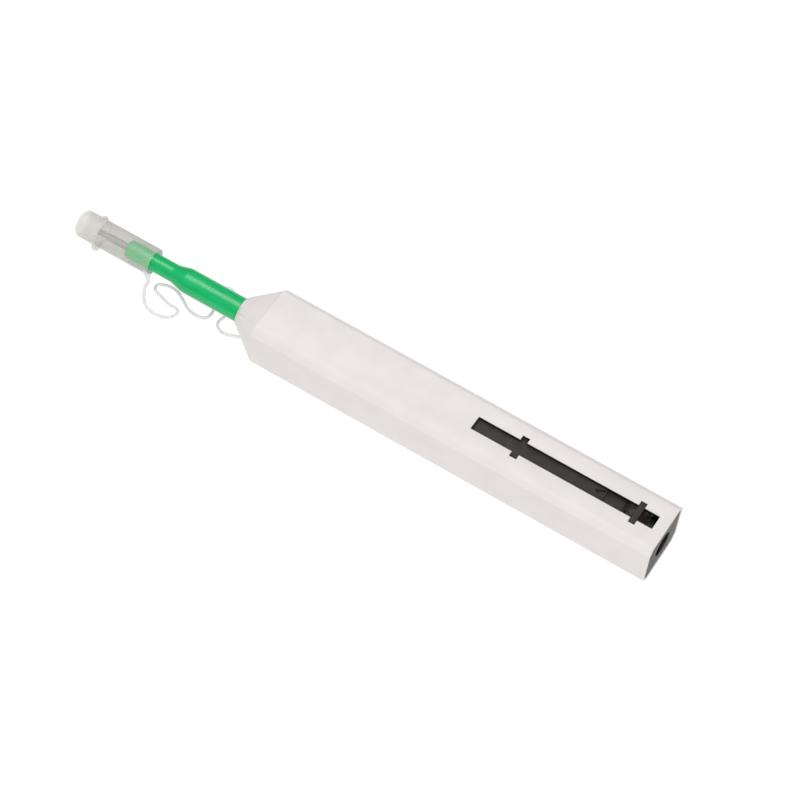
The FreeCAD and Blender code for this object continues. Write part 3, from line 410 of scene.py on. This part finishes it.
def merged_copy(node):
    """The solid's mesh with its loose triangles joined into whole flat faces."""
    copy = bmesh.new()
    copy.from_mesh(frame["nodes"][node].data)
    bmesh.ops.remove_doubles(copy, verts=copy.verts, dist=WELD)
    bmesh.ops.dissolve_limit(copy, angle_limit=math.radians(1.0), verts=copy.verts,
                             edges=copy.edges, delimit={"NORMAL"})
    return copy


def softened(node, name, width, wanted, finish=None, carve=None):
    """The solid with its wanted sharp edges rounded over width, carved first where asked."""
    sharp_from = math.radians(18.0)
    copy = merged_copy(node)
    if carve:
        carve(copy)
    sharp = [edge for edge in copy.edges
             if edge.is_manifold and edge.calc_face_angle(0.0) > sharp_from and wanted(edge)]
    bmesh.ops.bevel(copy, geom=sharp, offset=width, segments=3, profile=0.5,
                    affect="EDGES", clamp_overlap=True, material=-1, harden_normals=False)
    return finished(copy, name, node, finish)


def turned(profile):
    """A bmesh spun about the pen's axis from (x, radius) corners in millimetres, with the
    edge rounding of each corner as an optional third number."""
    steps = 96
    longest_edge = 1.5 * MM
    shape = bmesh.new()
    corners = [shape.verts.new((x * MM, 0.0, AXIS_Z + radius * MM)) for x, radius, *_ in profile]
    for first, second in zip(corners, corners[1:] + corners[:1]):
        shape.edges.new((first, second))
    rounded = [(corner, entry[2]) for corner, entry in zip(corners, profile) if len(entry) > 2]
    for corner, size in rounded:
        bmesh.ops.bevel(shape, geom=[corner], offset=size * MM, segments=4, profile=0.5,
                        affect="VERTICES", material=-1)
    for edge in shape.edges[:]:
        cuts = int(edge.calc_length() / longest_edge)
        if cuts:
            bmesh.ops.subdivide_edges(shape, edges=[edge], cuts=cuts)
    bmesh.ops.spin(shape, geom=shape.verts[:] + shape.edges[:], cent=(0.0, 0.0, AXIS_Z),
                   axis=(1.0, 0.0, 0.0), angle=math.tau, steps=steps, use_merge=True,
                   use_duplicate=False)
    bmesh.ops.remove_doubles(shape, verts=shape.verts, dist=WELD)
    bmesh.ops.recalc_face_normals(shape, faces=shape.faces)
    return shape


# ---- housing and its black parts --------------------------------------------------------

def outer_edge(edge):
    """Edges that show: those of the outer skin and round the slot's mouth."""
    middle = (edge.verts[0].co + edge.verts[1].co) / 2
    side_skin = 7.9 * MM
    skin = 0.1 * MM
    nose_rim = 1.0 * MM
    on_skin = (abs(middle.y) > side_skin or middle.z > SHELL_HIGH.z - skin
               or middle.z < SHELL_LOW.z + skin)
    return on_skin and middle.x > SHELL_LOW.x + nose_rim


def every_edge(edge):
    """All edges of a solid."""
    return True


def upper_edge(edge):
    """Edges of the bar above its teeth."""
    teeth_top = 14.8 * MM
    return min(vert.co.z for vert in edge.verts) > teeth_top


def boss_groove(bar):
    """The narrow step across the bar just ahead of the boss."""
    front = PLATE_FACE - 14.2 * MM
    rear = PLATE_FACE - 13.1 * MM
    slope = 0.12 * MM
    depth = 0.5 * MM
    below_deck = 15.7 * MM   # a little under the bar's upper face
    for place in (front, front + slope, rear - slope, rear):
        bmesh.ops.bisect_plane(bar, geom=everything(bar), plane_co=(place, 0.0, 0.0),
                               plane_no=(1.0, 0.0, 0.0))
    sunk = [vert for vert in bar.verts
            if front + slope / 2 < vert.co.x < rear - slope / 2 and vert.co.z > below_deck]
    bmesh.ops.translate(bar, vec=(0.0, 0.0, -depth), verts=sunk)


housing = softened("housing", "housing_shell", 0.22 * MM, outer_edge)
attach(housing, body_of("housing"))

plate = softened("end_plate", "rear_plate", 0.12 * MM, every_edge, FINISHES["end_plate"])
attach(plate, body_of("end_plate"))

rack = softened("drive_rack", "rack_bar", 0.1 * MM, upper_edge, carve=boss_groove)
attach(rack, body_of("drive_rack"))


def boss_facets():
    """The low pyramid on the cross arms, with one facet to each side."""
    foot_radius = 1.1 * MM
    top_radius = 0.3 * MM
    middle = (PLATE_FACE - 10.9 * MM, 0.0, 17.72 * MM)
    shape = bmesh.new()
    bmesh.ops.create_cone(shape, segments=4, radius1=foot_radius, radius2=top_radius,
                          depth=0.5 * MM, cap_ends=True, cap_tris=False)
    bmesh.ops.translate(shape, vec=middle, verts=shape.verts)
    # the pyramid's lighter black is a painted highlight on its facets
    return finished(shape, "boss_pyramid", "drive_rack", FINISHES["boss_painted_highlight"], crease=10.0)


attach(boss_facets(), body_of("drive_rack"))


def boss_crown():
    """The rounded thumb rest that rises to the cross arms."""
    half_sizes = (2.4, 2.2, 2.1)
    middle = (PLATE_FACE - 11.3 * MM, 0.0, 15.75 * MM)
    foot = (0.0, 0.0, 15.6 * MM)
    shape = bmesh.new()
    bmesh.ops.create_uvsphere(shape, u_segments=48, v_segments=24, radius=MM)
    bmesh.ops.scale(shape, vec=half_sizes, verts=shape.verts)
    bmesh.ops.translate(shape, vec=middle, verts=shape.verts)
    cut = bmesh.ops.bisect_plane(shape, geom=everything(shape), plane_co=foot,
                                 plane_no=(0.0, 0.0, -1.0), clear_outer=True)
    rim = [item for item in cut["geom_cut"] if isinstance(item, bmesh.types.BMEdge)]
    bmesh.ops.holes_fill(shape, edges=rim)
    return finished(shape, "boss_crown", "drive_rack", FINISHES["boss_black"])


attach(boss_crown(), body_of("drive_rack"))


# ---- nozzle, cap and lid ----------------------------------------------------------------

nozzle_front, nozzle_rear = (corner.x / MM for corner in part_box("nozzle"))
nozzle = finished(turned([
    (nozzle_rear, 3.1),
    (nozzle_rear, 5.4, 0.2),
    (nozzle_rear - 1.6, 5.4, 0.2),
    (nozzle_rear - 1.6, 4.6),
    (nozzle_rear - 3.2, 4.6),
    (nozzle_rear - 3.2, 6.0, 0.3),
    (nozzle_rear - 7.8, 6.0, 0.5),
    (nozzle_rear - 7.8, 3.9, 0.2),
    (nozzle_front + 20.8, 3.9, 0.6),
    (nozzle_front + 16.8, 2.85, 0.6),
    (nozzle_front, 2.85, 0.25),
    (nozzle_front, 2.05, 0.1),
    (nozzle_front + 16.8, 2.05),
    (nozzle_front + 20.8, 3.1),
]), "green_nozzle", "nozzle")
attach(nozzle, body_of("nozzle"))

rim_x = -74.5   # the cap's rear rim, in millimetres
cap = finished(turned([
    (rim_x, 2.9, 0.1),
    (rim_x, 4.35, 0.25),
    (rim_x - 18.7, 4.35, 0.35),
    (rim_x - 18.7, 3.35),
    (rim_x - 22.3, 3.35, 0.2),
    (rim_x - 22.3, 1.88),
    (rim_x - 21.5, 1.45),
    (rim_x - 16.3, 1.45),
    (rim_x - 16.3, 3.6, 0.4),
    (rim_x - 1.4, 3.6, 0.2),
    (rim_x - 1.4, 2.9),
]), "cap_sleeve", "cap")
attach(cap, body_of("cap"))


def tongue():
    """The flat tongue on the cap's rear rim, drawn out to the leash's thickness."""
    shape = bmesh.new()
    # distance from the axis, offset along the pen, half width, half thickness
    rings = [
        (3.9, -1.1, 1.45, 0.55),
        (4.6, -0.8, 1.25, 0.55),
        (5.3, -0.2, 0.9, 0.55),
        (5.9, 0.35, 0.64, 0.53),
        (6.4, 0.6, 0.55, 0.52),
    ]
    toward_leash = Matrix.Rotation(math.radians(-45.0), 4, "X")
    edges = []
    for reach, offset, wide, thick in rings:
        ring = bmesh.ops.create_circle(shape, segments=24, radius=MM)["verts"]
        bmesh.ops.scale(shape, vec=(wide, thick, 1.0), verts=ring)
        bmesh.ops.translate(shape, vec=((rim_x + offset) * MM, 0.0, -reach * MM), verts=ring)
        edges.append(list({edge for vert in ring for edge in vert.link_edges}))
    for upper, lower in zip(edges, edges[1:]):
        bmesh.ops.bridge_loops(shape, edges=upper + lower)
    bmesh.ops.holes_fill(shape, edges=shape.edges)
    bmesh.ops.transform(shape, verts=shape.verts,
                        matrix=Matrix.Translation((0.0, 0.0, AXIS_Z)) @ toward_leash)
    bmesh.ops.recalc_face_normals(shape, faces=shape.faces)
    return finished(shape, "cap_tongue", "cap", FINISHES["leash_plastic"])


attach(tongue(), body_of("cap"))

lid_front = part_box("cap_lid")[0].x / MM
lid = finished(turned([
    (lid_front + 8.5, 3.45, 0.1),
    (lid_front + 8.5, 4.35, 0.15),
    (lid_front + 1.3, 4.35, 0.5),
    (lid_front, 3.05, 0.5),
    (lid_front, 0.0),
    (lid_front + 0.9, 0.0),
    (lid_front + 0.9, 1.5),
    (lid_front + 3.5, 1.5),
    (lid_front + 3.5, 2.2, 0.2),
    (lid_front + 0.9, 2.2),
    (lid_front + 0.9, 3.45),
]), "cap_lid_shell", "cap_lid", FINISHES["cap_lid"])
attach(lid, body_of("cap_lid"))


def lid_flange():
    """The two ears of the lid: a tilted flange that is flush between them."""
    tube_radius = 4.2
    ear_radius = 5.5
    flattening = 0.76
    toward_near_side = 0.35 * MM
    shape = turned([
        (-0.8, tube_radius),
        (-0.45, ear_radius, 0.1),
        (0.35, ear_radius, 0.1),
        (0.6, tube_radius),
    ])
    bmesh.ops.translate(shape, vec=(0.0, 0.0, -AXIS_Z), verts=shape.verts)
    rim = [vert for vert in shape.verts if vert.co.yz.length > 5.0 * MM]
    bmesh.ops.scale(shape, vec=(1.0, 1.0, flattening), verts=rim)
    bmesh.ops.translate(shape, vec=(0.0, -toward_near_side, 0.0), verts=rim)
    middle = Matrix.Translation(((lid_front + 7.5) * MM, 0.0, AXIS_Z))
    turn = (Matrix.Rotation(math.radians(30.0), 4, "X")
            @ Matrix.Rotation(math.radians(9.7), 4, "Z"))
    bmesh.ops.transform(shape, verts=shape.verts, matrix=middle @ turn)
    return finished(shape, "cap_lid_flange", "cap_lid", FINISHES["cap_flange"])


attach(lid_flange(), body_of("cap_lid"))


# ---- springs ----------------------------------------------------------------------------

def coil(node, name, wire, turns):
    """A round-wire spring that fills the solid's box along X."""
    low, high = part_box(node)
    mean = (high.y - low.y) / 2 - wire / 2
    length = high.x - low.x - wire
    steps = turns * 28
    shape = bmesh.new()
    ring = bmesh.ops.create_circle(
        shape, segments=10, radius=wire / 2,
        matrix=Matrix.Translation((low.x + wire / 2, mean, AXIS_Z)))
    bmesh.ops.spin(shape, geom=ring["verts"] + shape.edges[:], cent=(0.0, 0.0, AXIS_Z),
                   axis=(1.0, 0.0, 0.0), dvec=(length / steps, 0.0, 0.0),
                   angle=math.tau * turns, steps=steps, use_duplicate=False)
    bmesh.ops.holes_fill(shape, edges=shape.edges)
    bmesh.ops.recalc_face_normals(shape, faces=shape.faces)
    return finished(shape, name, node, crease=60.0)


spring = coil("return_spring", "return_coil", 0.8 * MM, 10)
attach(spring, "housing")
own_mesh(spring)

small_spring = coil("tip_spring", "tip_coil", 0.5 * MM, 7)
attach(small_spring, "carriage")
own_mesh(small_spring)


# ---- leash ------------------------------------------------------------------------------

LEASH_RADIUS = 0.5 * MM
# from the cap's tongue to the middle of the leash, in millimetres
CAP_END_ROUTE = [
    (-73.9, -4.53, 4.47),
    (-74.4, -5.3, 3.1),
    (-73.9, -6.9, 1.6),
    (-72.7, -8.7, 0.8),
    (-69.9, -10.7, 0.6),
    (-65.4, -11.0, 0.6),
    (-61.8, -8.6, 0.6),
    (-62.0, -5.4, 0.6),
    (-65.6, -5.7, 0.6),
    (-69.3, -4.4, 0.6),
    (-72.3, -3.7, 0.6),
    (-72.8, -1.4, 0.6),
    (-70.1, -0.1, 0.6),
    (-66.4, 0.1, 0.6),
    (-62.8, -2.0, 0.6),
    (-59.9, -4.0, 0.6),
    (-58.15, -4.25, 0.6),
]
# from the middle of the leash to the underside of the nose
NOSE_END_ROUTE = [
    (-58.15, -4.25, 0.6),
    (-56.4, -4.5, 0.6),
    (-53.0, -3.5, 0.6),
    (-53.3, 1.5, 0.6),
    (-56.1, 5.7, 0.6),
    (-55.2, 9.6, 0.6),
    (-51.3, 9.6, 0.6),
    (-50.6, 5.0, 0.6),
    (-48.9, 0.6, 0.6),
    (-50.3, -3.2, 0.6),
    (-46.9, -5.5, 0.6),
    (-43.2, -4.3, 0.6),
    (-40.7, -3.15, 0.65),
    (-38.75, -2.3, 1.35),
    (-38.6, -2.2, 4.1),
]


def mesh_of(holder):
    """The mesh that a curve object makes as it stands."""
    depsgraph = bpy.context.evaluated_depsgraph_get()
    return bpy.data.meshes.new_from_object(holder.evaluated_get(depsgraph))


def leash_half(name, route):
    """One half of the leash as a round string along its own smooth line."""
    curve = bpy.data.curves.new(name + "_line", "CURVE")
    curve.dimensions = "3D"
    curve.resolution_u = 10
    spline = curve.splines.new("NURBS")
    spline.points.add(len(route) - 1)
    for point, (x, y, z) in zip(spline.points, route):
        point.co = (x * MM, y * MM, z * MM, 1.0)
    spline.order_u = 3
    spline.use_endpoint_u = True
    holder = bpy.data.objects.new(name + "_line", curve)
    bpy.context.scene.collection.objects.link(holder)
    path = [tuple(vertex.co) for vertex in mesh_of(holder).vertices]
    curve.bevel_depth = LEASH_RADIUS
    curve.bevel_resolution = 4
    curve.use_fill_caps = True
    bpy.context.view_layer.update()
    shape = bmesh.new()
    shape.from_mesh(mesh_of(holder))
    bpy.data.objects.remove(holder)
    bmesh.ops.remove_doubles(shape, verts=shape.verts, dist=WELD)
    bmesh.ops.recalc_face_normals(shape, faces=shape.faces)
    piece = finished(shape, name, "leash", crease=60.0)
    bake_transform(piece)


leash_half("leash_cap_end", CAP_END_ROUTE)
leash_half("leash_nose_end", NOSE_END_ROUTE)


# ---- the solids that keep their own shape -----------------------------------------------

for node, solid in frame["nodes"].items():
    if not solid.hide_render:
        solid.data.materials.clear()
        solid.data.materials.append(FINISHES.get(node, FINISHES[SLOT_OF[node]]))


# ---- floor, light and camera ------------------------------------------------------------

# name, place, length, width and power, in metres and watts
LAMPS = (
    ("near_softbox", (0.32, -0.64, 1.1), 1.3, 1.3, 7.8),
    ("top_lamp", (-0.44, 0.05, 1.15), 0.72, 0.22, 3.4),
)


def floor():
    """The pale paper under the pen, bright enough of its own to stay almost white."""
    bpy.ops.mesh.primitive_plane_add(size=3.0, location=(0.0, 0.0, -0.05 * MM))
    sheet = bpy.context.object
    sheet.name = "floor"
    paper = Finish("pale_paper")
    sheet.data.materials.append(paper.set(
        base_color=(0.15, 0.15, 0.15), roughness=0.9, specular_ior_level=0.1,
        emission_color=(1.0, 1.0, 1.0), emission_strength=0.92))


def air():
    """White behind the pen; for what it lights, dim low down and brighter overhead."""
    dim = 0.1
    bright = 0.65
    world = bpy.data.worlds.new("studio_air")
    world.use_nodes = True
    tree = world.node_tree
    where = tree.nodes.new("ShaderNodeTexCoord")
    parts = tree.nodes.new("ShaderNodeSeparateXYZ")
    rise = tree.nodes.new("ShaderNodeMapRange")
    rise.inputs["To Min"].default_value = dim
    rise.inputs["To Max"].default_value = bright
    tree.links.new(where.outputs["Generated"], parts.inputs[0])
    tree.links.new(parts.outputs["Z"], rise.inputs["Value"])
    seen = tree.nodes.new("ShaderNodeMix")
    ray = tree.nodes.new("ShaderNodeLightPath")
    tree.links.new(ray.outputs["Is Camera Ray"], seen.inputs["Factor"])
    tree.links.new(rise.outputs[0], seen.inputs["A"])
    seen.inputs["B"].default_value = 1.0
    background = tree.nodes["Background"]
    background.inputs["Color"].default_value = (1.0, 1.0, 1.0, 1.0)
    tree.links.new(seen.outputs["Result"], background.inputs["Strength"])
    bpy.context.scene.world = world


def lamps():
    """The soft lamps, turned towards the pen's front half."""
    aim = Vector((-0.05, 0.0, 0.0))
    for name, spot, across, along, power in LAMPS:
        lamp = bpy.data.lights.new(name, "AREA")
        lamp.shape = "RECTANGLE"
        lamp.size = across
        lamp.size_y = along
        lamp.energy = power
        holder = bpy.data.objects.new(name, lamp)
        bpy.context.scene.collection.objects.link(holder)
        holder.location = spot
        holder.rotation_euler = (aim - Vector(spot)).to_track_quat("-Z", "Y").to_euler()


def camera():
    """The view from the near side, high above the pen's rear half."""
    azimuth = math.radians(23.85)
    elevation = math.radians(57.47)
    roll = math.radians(8.60)
    distance = 0.862
    aim = Vector((31.7 * MM, 0.0, AXIS_Z))
    back = Vector((math.sin(azimuth) * math.cos(elevation),
                   -math.cos(azimuth) * math.cos(elevation), math.sin(elevation)))
    level = (-back).cross(Vector((0.0, 0.0, 1.0))).normalized()
    up = level.cross(-back)
    side = math.cos(roll) * level + math.sin(roll) * up
    top = -math.sin(roll) * level + math.cos(roll) * up
    lens = bpy.data.cameras.new("camera")
    lens.sensor_width = 36.0
    lens.lens = 132.26
    lens.clip_start = 0.01
    lens.shift_x = -0.0697
    lens.shift_y = 0.0368
    holder = bpy.data.objects.new("camera", lens)
    bpy.context.scene.collection.objects.link(holder)
    turn = Matrix((side, top, back)).transposed()
    holder.matrix_world = Matrix.Translation(aim + back * distance) @ turn.to_4x4()
    bpy.context.scene.camera = holder


floor()
air()
lamps()
camera()
bpy.context.scene.view_settings.view_transform = "Standard"
# many clear walls lie one behind another in the cap and its lid
bpy.context.scene.cycles.transparent_max_bounces = 24
